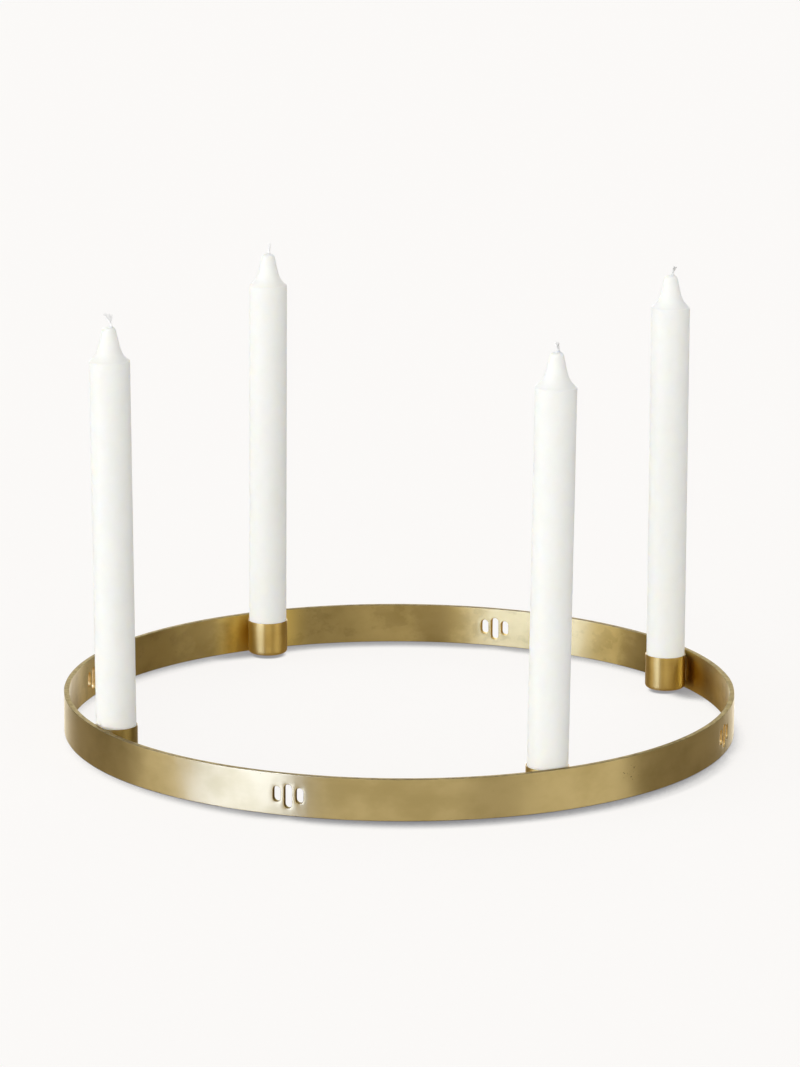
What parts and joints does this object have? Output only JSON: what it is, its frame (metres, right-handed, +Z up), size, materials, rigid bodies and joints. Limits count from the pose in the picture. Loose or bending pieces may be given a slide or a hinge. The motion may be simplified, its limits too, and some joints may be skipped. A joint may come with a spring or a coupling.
{
  "type": "advent candle holder",
  "caption": "Round brass band that stands on its edge, with tubular cups brazed inside it, each holding a lift-out tapered-tip candle, and slots for hanging it by ribbons.",
  "frame": {"origin": "centre of the ring, on the surface that the band's lower edge stands on", "axes": "+Z up along the ring's axis; +X and +Y through two groups of hanging slots, with the cups half way between"},
  "size_m": [0.38, 0.38, 0.2533],
  "materials": {
    "band_brass": "satin brushed",
    "cup_brass": "satin turned",
    "braze": "dull cast",
    "wax": "soft satin",
    "wick": "plaited cotton"
  },
  "bodies": {
    "holder": {"ring_band": "band_brass", "candle_cup_back_right": "cup_brass", "candle_cup_back_left": "cup_brass", "candle_cup_front_left": "cup_brass", "candle_cup_front_right": "cup_brass", "brazed_seam_back_right": "braze", "brazed_seam_back_left": "braze", "brazed_seam_front_left": "braze", "brazed_seam_front_right": "braze"},
    "candle_back_right": {"candle_back_right": "wax", "wick_back_right": "wick"},
    "candle_back_left": {"candle_back_left": "wax", "wick_back_left": "wick"},
    "candle_front_left": {"candle_front_left": "wax", "wick_front_left": "wick"},
    "candle_front_right": {"candle_front_right": "wax", "wick_front_right": "wick"}
  },
  "joints": [
    {"name": "lift_back_right", "type": "slide", "parent": "holder", "child": "candle_back_right", "axis": [0, 0, 1], "range_m": [0, 0.03]},
    {"name": "lift_back_left", "type": "slide", "parent": "holder", "child": "candle_back_left", "axis": [0, 0, 1], "range_m": [0, 0.03]},
    {"name": "lift_front_left", "type": "slide", "parent": "holder", "child": "candle_front_left", "axis": [0, 0, 1], "range_m": [0, 0.03]},
    {"name": "lift_front_right", "type": "slide", "parent": "holder", "child": "candle_front_right", "axis": [0, 0, 1], "range_m": [0, 0.03]}
  ]
}
